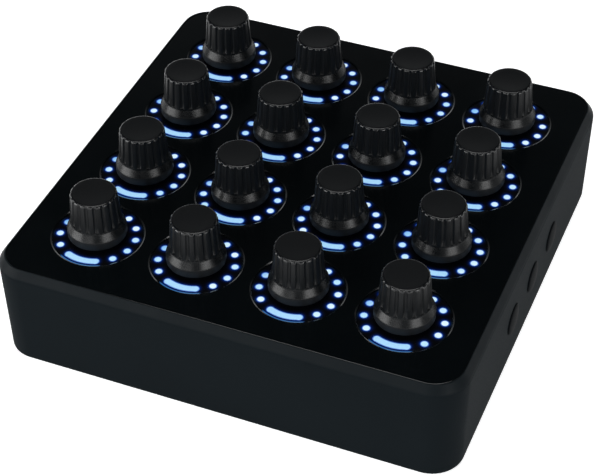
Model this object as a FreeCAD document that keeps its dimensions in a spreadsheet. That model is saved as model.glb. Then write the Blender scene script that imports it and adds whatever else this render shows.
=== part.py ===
import FreeCAD, Part
import math
import os
import Sketcher
from FreeCAD import Placement, Rotation, Vector

# A desktop control surface: a square moulded case with sixteen endless push encoders in a four by
# four grid, a lit ring of eleven dots and one bar round each knob, three push buttons in each side
# wall and a square cable socket in the rear wall.
# Millimetres, +Z up, front wall towards -Y, origin on the desk under the middle of the case.

doc = FreeCAD.newDocument("control_surface")

# Driving dimensions: name, value, what it is
SIZES = (
    ("knob_pitch", 38.8, "from one knob's axis to the next"),
    ("knobs_across", 4, "knobs along each side of the grid"),
    ("foot_stand", 1.5, "how far the feet lift the case"),
    ("case_height", 41.7, "case, from its lower edge to the rim"),
    ("case_half", 87.0, "half the case's side at its lower edge"),
    ("case_draft", 0.8, "how far each wall leans out on its way up to the bevel"),
    ("case_corner", 11.9, "corner radius of the case at its lower edge"),
    ("bevel_high", 3.1, "bevel round the rim"),
    ("bevel_wide", 2.3, "that bevel, seen from above"),
    ("bevel_round", 2.5, "rounding where the walls turn into the bevel"),
    ("rim_round", 0.2, "rounding of the rim's narrow top"),
    ("cavity_half", 84.5, "half the clear width inside the walls"),
    ("cavity_corner", 9.7, "corner radius inside the walls"),
    ("base_thick", 2.5, "base plate"),
    ("base_ledge", 1.5, "width and height of the ledge that the base plate meets"),
    ("fit_gap", 0.15, "gap round a plate that drops into the case"),
    ("rim_proud", 0.2, "rim above the faceplate"),
    ("panel_thick", 2.0, "faceplate"),
    ("panel_half", 85.1, "half the faceplate's side"),
    ("panel_corner", 10.8, "corner radius of the faceplate"),
    ("panel_edge", 0.3, "rounding of the faceplate's outer edge"),
    ("panel_ledge", 2.0, "width and height of the ledge under the faceplate"),
    ("ring_hole", 16.6, "radius of the hole round each knob"),
    ("ring_bevel_wide", 0.45, "polished bevel of that hole's top edge, seen from above"),
    ("ring_bevel_deep", 0.22, "that bevel"),
    ("ring_recess", 0.6, "ring mask below the faceplate's top"),
    ("mask_thick", 0.25, "ring mask"),
    ("mask_radius", 16.4, "ring mask"),
    ("mask_bore", 6.5, "hole in the ring mask for the nut"),
    ("window_gap", 0.05, "gap between a window and the light guide in it"),
    ("guide_radius", 16.45, "light guide in the faceplate's hole"),
    ("guide_flange", 18.2, "light guide's flange under the faceplate"),
    ("guide_flange_thick", 1.0, "that flange"),
    ("dot_count", 11, "round windows in a ring"),
    ("dot_circle", 13.85, "radius of the circle that the windows lie on"),
    ("dot_radius", 1.45, "round window"),
    ("dot_span", 262.8, "angle from the first window to the last"),
    ("bar_circle", 13.7, "radius of the bar window's middle line"),
    ("bar_width", 2.9, "bar window"),
    ("bar_reach", 22.8, "angle from the bar's middle to the centre of its round end"),
    ("baffle_radius", 18.0, "light baffle, outside"),
    ("baffle_bore", 9.6, "light baffle, round the encoder"),
    ("cell_gap", 0.6, "light baffle's cell beyond the window over it"),
    ("board_depth", 9.0, "main board's top below the ring masks"),
    ("board_thick", 1.6, "circuit boards"),
    ("board_half", 76.6, "half the main board's side"),
    ("board_tab_half", 14.0, "half the width of the main board's tab over the socket"),
    ("board_tab_end", 83.5, "end of that tab"),
    ("housing_wide", 12.4, "encoder housing along X"),
    ("housing_deep", 13.0, "encoder housing along Y"),
    ("housing_floor", 0.5, "encoder housing's bottom sheet"),
    ("housing_roof", 1.4, "encoder housing's top under the bushing"),
    ("housing_bore", 5.0, "radius of the room for the contact wheel"),
    ("bushing_radius", 3.5, "threaded bushing, M7"),
    ("bushing_rise", 5.2, "threaded bushing above the housing"),
    ("shaft_radius", 3.0, "encoder shaft"),
    ("shaft_gap", 0.04, "running gap round the shaft"),
    ("shaft_top", 14.6, "shaft's end above the ring masks"),
    ("washer_radius", 5.75, "washer"),
    ("washer_thick", 0.5, "washer"),
    ("nut_flats", 10.0, "nut across its flats"),
    ("nut_thick", 2.0, "nut"),
    ("knob_gap", 2.1, "knob's lower edge above the ring mask"),
    ("knob_top", 20.35, "knob's top above the ring mask"),
    ("skirt_radius", 10.65, "knob's skirt"),
    ("skirt_top", 5.2, "skirt's upper edge above the ring mask"),
    ("shoulder_top", 8.1, "top of the slope from skirt to grip, above the ring mask"),
    ("grip_low_radius", 9.25, "grip at its lower end"),
    ("grip_top_radius", 8.4, "grip below its top edge"),
    ("grip_round", 1.0, "rounding of the knob's top edge"),
    ("top_dish", 0.3, "depth of the dish in the knob's top"),
    ("flute_foot", 8.7, "flutes' lower ends above the ring mask"),
    ("flute_count", 18, "flutes round the grip"),
    ("flute_radius", 0.85, "cutter that leaves a flute"),
    ("flute_depth", 0.5, "flute"),
    ("hub_radius", 4.7, "knob's hub round the shaft"),
    ("hub_foot", 4.7, "hub's lower end above the ring mask"),
    ("wheel_radius", 4.6, "contact wheel in the encoder"),
    ("wheel_thick", 1.4, "contact wheel"),
    ("key_wide", 3.6, "flat key at the shaft's lower end"),
    ("key_thick", 2.6, "that key"),
    ("key_gap", 0.05, "gap round the key"),
    ("collar_radius", 4.0, "collar that keeps the shaft in"),
    ("collar_thick", 1.5, "that collar"),
    ("button_height", 21.8, "side buttons' axes above the desk"),
    ("button_pitch", 24.0, "from one side button to the next"),
    ("button_middle", 0.0, "middle side button's place along the wall"),
    ("button_hole", 6.0, "radius of the holes in the side walls"),
    ("button_radius", 5.7, "side button's cap"),
    ("button_flange", 7.2, "flange that keeps a side button in"),
    ("button_flange_thick", 1.2, "that flange"),
    ("button_proud", 1.1, "side button's face beyond the wall"),
    ("button_dome", 0.35, "rise of the side button's domed face"),
    ("button_post", 1.6, "radius of the post that works the switch"),
    ("side_board_face", 79.6, "outer face of the side boards"),
    ("side_board_long", 66.0, "side boards along the wall"),
    ("side_board_high", 13.0, "side boards, upright"),
    ("switch_side", 6.2, "side switches"),
    ("switch_deep", 2.8, "side switches, board to face"),
    ("side_boss", 2.6, "radius of the bosses that carry the side boards"),
    ("small_screw", 0.95, "radius of the side boards' screws"),
    ("post_place", 77.0, "corner posts and screws, from the middle"),
    ("post_radius", 3.8, "corner posts on the base plate"),
    ("screw_radius", 1.5, "M3 screws"),
    ("screw_head", 2.75, "radius of their heads"),
    ("screw_head_thick", 2.0, "their heads"),
    ("screw_gap", 0.05, "gap round a screw in its thread"),
    ("screw_recess", 3.0, "depth of the base plate's screw pockets"),
    ("standoff_radius", 3.0, "threaded standoffs under the faceplate"),
    ("foot_place", 66.0, "feet, from the middle"),
    ("foot_radius", 6.0, "feet"),
    ("foot_seat", 1.0, "depth of a foot's seat in the base plate"),
    ("rib_thick", 1.6, "stiffening ribs on the base plate"),
    ("rib_high", 4.0, "those ribs"),
    ("rib_long", 136.0, "those ribs"),
    ("socket_wide", 12.0, "cable socket along X"),
    ("socket_high", 10.8, "cable socket"),
    ("socket_long", 15.8, "cable socket, mouth to back"),
    ("socket_mouth", 84.3, "socket's mouth, from the middle"),
    ("socket_wall", 0.4, "socket's sheet steel"),
    ("plug_wide", 8.6, "room for the plug"),
    ("plug_high", 7.9, "room for the plug"),
    ("plug_deep", 11.0, "room for the plug"),
    ("plug_bevel", 1.7, "bevel of the plug room's upper corners"),
    ("tongue_wide", 5.6, "contact tongue in the socket"),
    ("tongue_high", 3.2, "contact tongue"),
    ("socket_window_wide", 13.4, "hole in the rear wall for the plug's grip"),
    ("socket_window_high", 12.2, "that hole"),
)

sheet = doc.addObject("Spreadsheet::Sheet", "Sizes")
for row, (alias, value, meaning) in enumerate(SIZES, 1):
    sheet.set(f"A{row}", meaning)
    sheet.set(f"B{row}", str(value))
    sheet.setAlias(f"B{row}", alias)
doc.recompute()

# Heights that several pieces share, worked out from the driving dimensions
RIM_TOP = "(Sizes.foot_stand + Sizes.case_height)"
PANEL_TOP = f"({RIM_TOP} - Sizes.rim_proud)"
PANEL_LOW = f"({PANEL_TOP} - Sizes.panel_thick)"
RING_TOP = f"({PANEL_TOP} - Sizes.ring_recess)"
GUIDE_TOP = f"({RING_TOP} - Sizes.mask_thick)"
GUIDE_LOW = f"({PANEL_LOW} - Sizes.guide_flange_thick)"
BOARD_TOP = f"({RING_TOP} - Sizes.board_depth)"
BOARD_LOW = f"({BOARD_TOP} - Sizes.board_thick)"
BASE_TOP = "(Sizes.foot_stand + Sizes.base_thick)"
WASHER_TOP = f"({GUIDE_TOP} + Sizes.washer_thick)"
COLLAR_TOP = f"({GUIDE_LOW} - Sizes.housing_roof - 0.1)"
COLLAR_LOW = f"({COLLAR_TOP} - Sizes.collar_thick)"
WHEEL_LOW = f"({BOARD_TOP} + Sizes.housing_floor + 1.1)"
SOCKET_MIDDLE = f"({BOARD_LOW} - Sizes.socket_high / 2)"
FIRST_KNOB = "(Sizes.knob_pitch * (1 - Sizes.knobs_across) / 2)"

# How far each knob is turned at rest, in degrees, rear row first
KNOB_TURNS = (
    (4, 19, 3, 6),
    (1, 0, 15, 5),
    (5, 5, 4, 11),
    (18, 18, 11, 9),
)

LYING_RIGHT = Rotation(Vector(0, 1, 0), 90)
LYING_LEFT = Rotation(Vector(0, 1, 0), -90)
UPRIGHT = Rotation()

parts = []


# Small helpers for values, places and sketches
def number(formula):
    return float(sheet.evalExpression(formula))


def new_part(name):
    body = doc.addObject("PartDesign::Body", name)
    body.Label = name
    parts.append(body)
    return body


def origin_item(body, role):
    return [item for item in body.Origin.OriginFeatures if item.Role == role][0]


def place(thing, across="0", along="0", height="0", rotation=UPRIGHT):
    formulas = {"x": across, "y": along, "z": height}
    spot = Vector(number(across), number(along), number(height))
    thing.Placement = Placement(spot, rotation)
    for axis, formula in formulas.items():
        if formula != "0":
            thing.setExpression(f"Placement.Base.{axis}", formula)


def sketch_on(body, name, role="XY_Plane", lift="0"):
    sketch = body.newObject("Sketcher::SketchObject", name)
    sketch.AttachmentSupport = [(origin_item(body, role), "")]
    sketch.MapMode = "FlatFace"
    if lift != "0":
        sketch.setExpression("AttachmentOffset.Base.z", lift)
    return sketch


def hold(sketch, kind, formula, *ends):
    index = sketch.addConstraint(Sketcher.Constraint(kind, *ends, number(formula)))
    sketch.setExpression(f"Constraints[{index}]", formula)


def pin(sketch, item, end, across, along):
    for kind, axis, formula in (("DistanceX", -2, across), ("DistanceY", -1, along)):
        if formula == "0":
            sketch.addConstraint(Sketcher.Constraint("PointOnObject", item, end, axis))
        else:
            hold(sketch, kind, formula, -1, 1, item, end)


def circle(sketch, radius, across="0", along="0"):
    centre = Vector(number(across), number(along), 0)
    item = sketch.addGeometry(Part.Circle(centre, Vector(0, 0, 1), number(radius)))
    pin(sketch, item, 3, across, along)
    hold(sketch, "Radius", radius, item)


def rounded_square(sketch, half, corner):
    reach = number(half)
    radius = number(corner)
    middle = reach - radius
    sides = []
    corners = []
    for quarter in range(4):
        angle = math.pi / 2 * quarter
        turn = Rotation(Vector(0, 0, 1), 90 * quarter)
        line = Part.LineSegment(
            turn.multVec(Vector(-middle, -reach, 0)), turn.multVec(Vector(middle, -reach, 0))
        )
        sides.append(sketch.addGeometry(line))
        bend = Part.Circle(turn.multVec(Vector(middle, -middle, 0)), Vector(0, 0, 1), radius)
        corners.append(
            sketch.addGeometry(Part.ArcOfCircle(bend, angle - math.pi / 2, angle))
        )
    for quarter in range(4):
        after = sides[(quarter + 1) % 4]
        sketch.addConstraint(
            Sketcher.Constraint("Tangent", sides[quarter], 2, corners[quarter], 1)
        )
        sketch.addConstraint(Sketcher.Constraint("Tangent", corners[quarter], 2, after, 1))
    for quarter, kind in enumerate(("Horizontal", "Vertical", "Horizontal", "Vertical")):
        sketch.addConstraint(Sketcher.Constraint(kind, sides[quarter]))
    for other in corners[1:]:
        sketch.addConstraint(Sketcher.Constraint("Equal", corners[0], other))
    sketch.addConstraint(
        Sketcher.Constraint("Symmetric", corners[0], 3, corners[2], 3, -1, 1)
    )
    spread = f"2 * ({half} - ({corner}))"
    hold(sketch, "DistanceX", spread, corners[3], 3, corners[0], 3)
    hold(sketch, "DistanceY", spread, corners[0], 3, corners[1], 3)
    hold(sketch, "Radius", corner, corners[0])


def outline(sketch, corners, bends=()):
    # A bend is (corner that it leaves, radius, side its centre lies on: 1 left, -1 right).
    spots = [Vector(number(across), number(along), 0) for across, along in corners]
    curved = {start: (radius, side) for start, radius, side in bends}
    edges = []
    for k, start in enumerate(spots):
        finish = spots[(k + 1) % len(spots)]
        if k not in curved:
            edges.append((sketch.addGeometry(Part.LineSegment(start, finish)), 1, 2))
            continue
        radius, side = curved[k]
        chord = finish - start
        left = Vector(-chord.y, chord.x, 0).normalize()
        rise = math.sqrt(number(radius) ** 2 - (chord.Length / 2) ** 2)
        centre = (start + finish) * 0.5 + left * (side * rise)
        angles = [math.atan2(p.y - centre.y, p.x - centre.x) for p in (start, finish)]
        ends = (1, 2)
        if side < 0:
            angles.reverse()
            ends = (2, 1)
        if angles[1] < angles[0]:
            angles[1] += 2 * math.pi
        round_edge = Part.Circle(centre, Vector(0, 0, 1), number(radius))
        item = sketch.addGeometry(Part.ArcOfCircle(round_edge, angles[0], angles[1]))
        edges.append((item, *ends))
        hold(sketch, "Radius", radius, item)
    for k, (item, first, last) in enumerate(edges):
        follower, follower_first, _ = edges[(k + 1) % len(edges)]
        sketch.addConstraint(
            Sketcher.Constraint("Coincident", item, last, follower, follower_first)
        )
        pin(sketch, item, first, *corners[k])


def bar_window(sketch, width):
    # A curved slot with round ends, centred on the front of the ring.
    middle = number("Sizes.bar_circle")
    half = number(width) / 2
    reach = math.radians(number("Sizes.bar_reach"))
    front = -math.pi / 2
    zero = Vector(0, 0, 0)
    up = Vector(0, 0, 1)
    outer = sketch.addGeometry(
        Part.ArcOfCircle(Part.Circle(zero, up, middle + half), front - reach, front + reach)
    )
    inner = sketch.addGeometry(
        Part.ArcOfCircle(Part.Circle(zero, up, middle - half), front - reach, front + reach)
    )
    left_spot = Vector(-math.sin(reach), -math.cos(reach), 0) * middle
    right_spot = Vector(math.sin(reach), -math.cos(reach), 0) * middle
    left = sketch.addGeometry(
        Part.ArcOfCircle(
            Part.Circle(left_spot, up, half), front - reach - math.pi, front - reach
        )
    )
    right = sketch.addGeometry(
        Part.ArcOfCircle(
            Part.Circle(right_spot, up, half), front + reach, front + reach + math.pi
        )
    )
    for item in (outer, inner):
        sketch.addConstraint(Sketcher.Constraint("Coincident", item, 3, -1, 1))
    for first, first_end, second, second_end in (
        (left, 1, inner, 1),
        (left, 2, outer, 1),
        (right, 1, outer, 2),
        (right, 2, inner, 2),
    ):
        sketch.addConstraint(
            Sketcher.Constraint("Tangent", first, first_end, second, second_end)
        )
    hold(sketch, "Radius", f"Sizes.bar_circle + {width} / 2", outer)
    hold(sketch, "Radius", f"Sizes.bar_circle - {width} / 2", inner)
    sideways = "Sizes.bar_circle * sin(Sizes.bar_reach * 1deg)"
    hold(sketch, "DistanceX", f"-{sideways}", -1, 1, left, 3)
    hold(sketch, "DistanceX", sideways, -1, 1, right, 3)


# Features that several pieces use
def pad(body, name, sketch, length, taper=None):
    feature = body.newObject("PartDesign::Pad", name)
    feature.Profile = sketch
    feature.setExpression("Length", length)
    if taper:
        feature.setExpression("TaperAngle", taper)
    return feature


def pocket_up(body, name, sketch, length):
    feature = body.newObject("PartDesign::Pocket", name)
    feature.Profile = sketch
    feature.Reversed = True
    feature.setExpression("Length", length)
    return feature


def turned(body, name, corners, bends=()):
    sketch = sketch_on(body, f"{name}_profile", "XZ_Plane")
    outline(sketch, corners, bends)
    feature = body.newObject("PartDesign::Revolution", name)
    feature.Profile = sketch
    feature.ReferenceAxis = (sketch, ["V_Axis"])
    feature.Angle = 360
    return feature


def cylinder(body, kind, name, radius, length, spot, rotation=UPRIGHT):
    feature = body.newObject(f"PartDesign::{kind}Cylinder", name)
    feature.setExpression("Radius", radius)
    feature.setExpression("Height", length)
    place(feature, *spot, rotation=rotation)
    return feature


def block(body, kind, name, size, spot):
    # The spot is the middle of the block's lower face.
    across, along, height = spot
    feature = body.newObject(f"PartDesign::{kind}Box", name)
    feature.setExpression("Length", size[0])
    feature.setExpression("Width", size[1])
    feature.setExpression("Height", size[2])
    place(feature, f"{across} - ({size[0]}) / 2", f"{along} - ({size[1]}) / 2", height)
    return feature


def around(body, name, features, count, span=None):
    pattern = body.newObject("PartDesign::PolarPattern", name)
    pattern.Originals = features
    pattern.Axis = (origin_item(body, "Z_Axis"), [""])
    pattern.setExpression("Occurrences", count)
    if span:
        pattern.setExpression("Angle", span)
    body.Tip = pattern
    return pattern


def on_knob_grid(body, features=None):
    grid = body.newObject("PartDesign::LinearPattern", f"{body.Name}_grid")
    if features:
        grid.Originals = features
    else:
        grid.TransformMode = "Whole shape"
    grid.Direction = (origin_item(body, "X_Axis"), [""])
    grid.Direction2 = (origin_item(body, "Y_Axis"), [""])
    for suffix in ("", "2"):
        grid.setExpression(f"Length{suffix}", "Sizes.knob_pitch * (Sizes.knobs_across - 1)")
        grid.setExpression(f"Occurrences{suffix}", "Sizes.knobs_across")
    body.Tip = grid
    return grid


def on_both_sides(body):
    doc.recompute()
    mirror = body.newObject("PartDesign::Mirrored", f"{body.Name}_pair")
    mirror.TransformMode = "Whole shape"
    mirror.MirrorPlane = (origin_item(body, "YZ_Plane"), [""])
    body.Tip = mirror
    return mirror


def round_edges(body, name, base, radius, chosen):
    # chosen tells from an edge whether it is rounded.
    doc.recompute()
    names = [f"Edge{k}" for k, edge in enumerate(base.Shape.Edges, 1) if chosen(edge)]
    feature = body.newObject("PartDesign::Fillet", name)
    feature.Base = (base, names)
    feature.setExpression("Radius", radius)
    return feature


def lies_at(edge, height):
    box = edge.BoundBox
    return abs(box.ZMin - height) < 0.01 and abs(box.ZMax - height) < 0.01


def corner_spots(place_name):
    for across in ("", "-"):
        for along in ("", "-"):
            yield f"{across}Sizes.{place_name}", f"{along}Sizes.{place_name}"


def button_spots():
    for step, name in ((-1, "front"), (0, "middle"), (1, "rear")):
        yield name, f"(Sizes.button_middle + {step} * Sizes.button_pitch)"


# Moulded case: four walls with a bevelled rim, a ledge under the faceplate and one over the base
# plate, six button holes, a window for the cable socket and bosses for the side boards
def make_case_shell():
    body = new_part("case_shell")
    foot = sketch_on(body, "wall_outline", lift="Sizes.foot_stand")
    rounded_square(foot, "Sizes.case_half", "Sizes.case_corner")
    wall_high = "(Sizes.case_height - Sizes.bevel_high)"
    pad(body, "walls", foot, wall_high, taper=f"atan(Sizes.case_draft / {wall_high})")
    shoulder = sketch_on(body, "bevel_outline", lift=f"Sizes.foot_stand + {wall_high}")
    rounded_square(
        shoulder, "Sizes.case_half + Sizes.case_draft", "Sizes.case_corner + Sizes.case_draft"
    )
    lean = "atan(Sizes.bevel_wide / Sizes.bevel_high)"
    bevel = pad(body, "bevel", shoulder, "Sizes.bevel_high", taper=f"-{lean}")
    crease = number(f"Sizes.foot_stand + {wall_high}")
    softened = round_edges(
        body, "shoulder", bevel, "Sizes.bevel_round", lambda edge: lies_at(edge, crease)
    )
    top = number(RIM_TOP)
    round_edges(body, "rim", softened, "Sizes.rim_round", lambda edge: lies_at(edge, top))
    ledge_low = f"({PANEL_LOW} - Sizes.panel_ledge)"
    cavity_low = f"({BASE_TOP} + Sizes.base_ledge)"
    clear = "Sizes.cavity_half"
    clear_corner = "Sizes.cavity_corner"
    steps = (
        ("base_seat", "Sizes.foot_stand", BASE_TOP, clear, clear_corner),
        (
            "base_ledge",
            BASE_TOP,
            cavity_low,
            f"{clear} - Sizes.base_ledge",
            f"{clear_corner} - Sizes.base_ledge",
        ),
        ("cavity", cavity_low, ledge_low, clear, clear_corner),
        (
            "panel_ledge",
            ledge_low,
            PANEL_LOW,
            f"{clear} - Sizes.panel_ledge",
            f"{clear_corner} - Sizes.panel_ledge",
        ),
        (
            "panel_seat",
            PANEL_LOW,
            f"({RIM_TOP} + 1)",
            "Sizes.panel_half + Sizes.fit_gap",
            "Sizes.panel_corner + Sizes.fit_gap",
        ),
    )
    for name, low, high, half, corner in steps:
        sketch = sketch_on(body, f"{name}_outline", lift=low)
        rounded_square(sketch, half, corner)
        pocket_up(body, name, sketch, f"{high} - {low}")
    for side, rotation in (("", LYING_RIGHT), ("-", LYING_LEFT)):
        tag = "left" if side else "right"
        for name, along in button_spots():
            spot = (f"{side}(Sizes.cavity_half - 1)", along, "Sizes.button_height")
            cylinder(
                body,
                "Subtractive",
                f"{tag}_{name}_hole",
                "Sizes.button_hole",
                "Sizes.case_half - Sizes.cavity_half + 4",
                spot,
                rotation,
            )
        for step in (-1, 1):
            along = f"(Sizes.button_middle + {step} * Sizes.button_pitch / 2)"
            spot = (f"{side}Sizes.side_board_face", along, "Sizes.button_height")
            cylinder(
                body,
                "Additive",
                f"{tag}_boss",
                "Sizes.side_boss",
                "Sizes.cavity_half - Sizes.side_board_face + 0.5",
                spot,
                rotation,
            )
            cylinder(
                body,
                "Subtractive",
                f"{tag}_boss_bore",
                "Sizes.small_screw + Sizes.screw_gap",
                "Sizes.cavity_half - Sizes.side_board_face",
                spot,
                rotation,
            )
    block(
        body,
        "Subtractive",
        "socket_window",
        ("Sizes.socket_window_wide", "8", "Sizes.socket_window_high"),
        ("0", "Sizes.case_half", f"{SOCKET_MIDDLE} - Sizes.socket_window_high / 2"),
    )
    return body


# Base plate: drops into the case from below, carries the feet and four hollow posts for the
# long screws, and has a crossed pair of stiffening ribs
def make_base_plate():
    body = new_part("base_plate")
    sketch = sketch_on(body, "base_outline", lift="Sizes.foot_stand")
    rounded_square(
        sketch, "Sizes.cavity_half - Sizes.fit_gap", "Sizes.cavity_corner - Sizes.fit_gap"
    )
    pad(body, "sheet_of_base", sketch, "Sizes.base_thick")
    for name, long_way, wide_way in (
        ("rib_along_x", "Sizes.rib_long", "Sizes.rib_thick"),
        ("rib_along_y", "Sizes.rib_thick", "Sizes.rib_long"),
    ):
        size = (long_way, wide_way, "Sizes.rib_high")
        block(body, "Additive", name, size, ("0", "0", BASE_TOP))
    for across, along in corner_spots("post_place"):
        cylinder(
            body,
            "Additive",
            "post",
            "Sizes.post_radius",
            f"{BOARD_TOP} - Sizes.foot_stand",
            (across, along, "Sizes.foot_stand"),
        )
        cylinder(
            body,
            "Subtractive",
            "post_bore",
            "Sizes.screw_radius + 0.2",
            f"{BOARD_TOP}",
            (across, along, "0"),
        )
        cylinder(
            body,
            "Subtractive",
            "screw_pocket",
            "Sizes.screw_head + 0.25",
            "Sizes.foot_stand + Sizes.screw_recess",
            (across, along, "0"),
        )
    for across, along in corner_spots("foot_place"):
        cylinder(
            body,
            "Subtractive",
            "foot_seat",
            "Sizes.foot_radius + 0.1",
            "Sizes.foot_stand + Sizes.foot_seat",
            (across, along, "0"),
        )
    return body


# Faceplate: a flat polished plate with a shallow bevel round each ring's hole
def make_faceplate():
    body = new_part("faceplate")
    sketch = sketch_on(body, "panel_outline", lift=PANEL_LOW)
    rounded_square(sketch, "Sizes.panel_half", "Sizes.panel_corner")
    sheet_pad = pad(body, "panel", sketch, "Sizes.panel_thick")
    top = number(PANEL_TOP)
    round_edges(
        body, "panel_rounding", sheet_pad, "Sizes.panel_edge", lambda edge: lies_at(edge, top)
    )
    hole_sketch = sketch_on(body, "hole_outline", lift=PANEL_LOW)
    circle(hole_sketch, "Sizes.ring_hole", FIRST_KNOB, FIRST_KNOB)
    hole = pocket_up(body, "first_hole", hole_sketch, "Sizes.panel_thick + 1")
    bevel = body.newObject("PartDesign::SubtractiveCone", "hole_bevel")
    bevel.setExpression("Radius1", "Sizes.ring_hole")
    bevel.setExpression("Radius2", "Sizes.ring_hole + 2 * Sizes.ring_bevel_wide")
    bevel.setExpression("Height", "2 * Sizes.ring_bevel_deep")
    place(bevel, FIRST_KNOB, FIRST_KNOB, f"{PANEL_TOP} - Sizes.ring_bevel_deep")
    on_knob_grid(body, [hole, bevel])
    return body


# Threaded standoffs pressed into the faceplate: five carry the main board, four take the long
# case screws at the corners
def make_faceplate_standoffs():
    body = new_part("faceplate_standoffs")
    spots = [("0", "0")]
    spots += list(corner_spots("knob_pitch"))
    spots += list(corner_spots("post_place"))
    for across, along in spots:
        cylinder(
            body,
            "Additive",
            "standoff",
            "Sizes.standoff_radius",
            f"{PANEL_LOW} - {BOARD_TOP}",
            (across, along, BOARD_TOP),
        )
        cylinder(
            body,
            "Subtractive",
            "thread",
            "Sizes.screw_radius + Sizes.screw_gap",
            f"{PANEL_LOW} - {BOARD_TOP} - 1",
            (across, along, BOARD_TOP),
        )
    return body


# First round window of a ring: the windows run anticlockwise from here to its mirror image
def first_dot():
    start = "(270 - Sizes.dot_span / 2 - 180)"
    return (
        f"Sizes.dot_circle * cos({start} * 1deg)",
        f"Sizes.dot_circle * sin({start} * 1deg)",
    )


def ring_place(body, height="0"):
    place(body, FIRST_KNOB, FIRST_KNOB, height)


# Light guides: clear discs under the ring masks, with a raised pip in every window
def make_light_guides():
    body = new_part("light_guides")
    ring_place(body)
    flange = sketch_on(body, "flange_outline", lift=GUIDE_LOW)
    circle(flange, "Sizes.guide_flange")
    circle(flange, "Sizes.bushing_radius + 0.15")
    pad(body, "flange", flange, "Sizes.guide_flange_thick")
    plug = sketch_on(body, "plug_outline", lift=PANEL_LOW)
    circle(plug, "Sizes.guide_radius")
    circle(plug, "Sizes.bushing_radius + 0.15")
    pad(body, "plug", plug, f"{GUIDE_TOP} - {PANEL_LOW}")
    bar = sketch_on(body, "bar_outline", lift=GUIDE_TOP)
    bar_window(bar, "Sizes.bar_width")
    pad(body, "bar", bar, "Sizes.mask_thick")
    dot = sketch_on(body, "dot_outline", lift=GUIDE_TOP)
    circle(dot, "Sizes.dot_radius", *first_dot())
    pip = pad(body, "pip", dot, "Sizes.mask_thick")
    around(body, "pips", [pip], "Sizes.dot_count", "Sizes.dot_span")
    on_knob_grid(body)
    return body


# Ring masks: thin black discs with eleven round windows and one curved bar window
def make_ring_masks():
    body = new_part("ring_masks")
    ring_place(body)
    disc = sketch_on(body, "disc_outline", lift=GUIDE_TOP)
    circle(disc, "Sizes.mask_radius")
    circle(disc, "Sizes.mask_bore")
    pad(body, "disc", disc, "Sizes.mask_thick")
    bar = sketch_on(body, "bar_outline", lift=GUIDE_TOP)
    bar_window(bar, "(Sizes.bar_width + 2 * Sizes.window_gap)")
    pocket_up(body, "bar_opening", bar, "1")
    dot = sketch_on(body, "dot_outline", lift=GUIDE_TOP)
    circle(dot, "Sizes.dot_radius + Sizes.window_gap", *first_dot())
    opening = pocket_up(body, "dot_opening", dot, "1")
    around(body, "dot_openings", [opening], "Sizes.dot_count", "Sizes.dot_span")
    on_knob_grid(body)
    return body


# Light baffles: black rings between board and light guide, one cell for each window
def make_light_baffles():
    body = new_part("light_baffles")
    ring_place(body)
    disc = sketch_on(body, "ring_outline", lift=BOARD_TOP)
    circle(disc, "Sizes.baffle_radius")
    circle(disc, "Sizes.baffle_bore")
    pad(body, "ring", disc, f"{GUIDE_LOW} - {BOARD_TOP}")
    bar = sketch_on(body, "bar_outline", lift=BOARD_TOP)
    bar_window(bar, "(Sizes.bar_width + 2 * Sizes.cell_gap)")
    pocket_up(body, "bar_cell", bar, "Sizes.board_depth")
    dot = sketch_on(body, "dot_outline", lift=BOARD_TOP)
    circle(dot, "Sizes.dot_radius + Sizes.cell_gap", *first_dot())
    cell = pocket_up(body, "dot_cell", dot, "Sizes.board_depth")
    around(body, "dot_cells", [cell], "Sizes.dot_count", "Sizes.dot_span")
    on_knob_grid(body)
    return body


# Light chips on the main board: one under every round window and two under the bar
def make_ring_lights():
    body = new_part("ring_lights")
    ring_place(body)
    size = ("1.6", "1.6", "0.7")
    across, along = first_dot()
    chip = block(body, "Additive", "dot_light", size, (across, along, BOARD_TOP))
    around(body, "dot_lights", [chip], "Sizes.dot_count", "Sizes.dot_span")
    for side in ("", "-"):
        sideways = f"{side}Sizes.bar_circle * sin(13deg)"
        forward = "-Sizes.bar_circle * cos(13deg)"
        block(body, "Additive", "bar_light", ("2", "1.6", "0.7"), (sideways, forward, BOARD_TOP))
    on_knob_grid(body)
    return body


# Solder pins of an encoder, from its middle: three contacts in front, two behind, a tab each side
PIN_SPOTS = (("-2.5", "-7"), ("0", "-7"), ("2.5", "-7"), ("-2.5", "7"), ("2.5", "7"))
TAB_SPOTS = (("-6.6", "0"), ("6.6", "0"))


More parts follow.
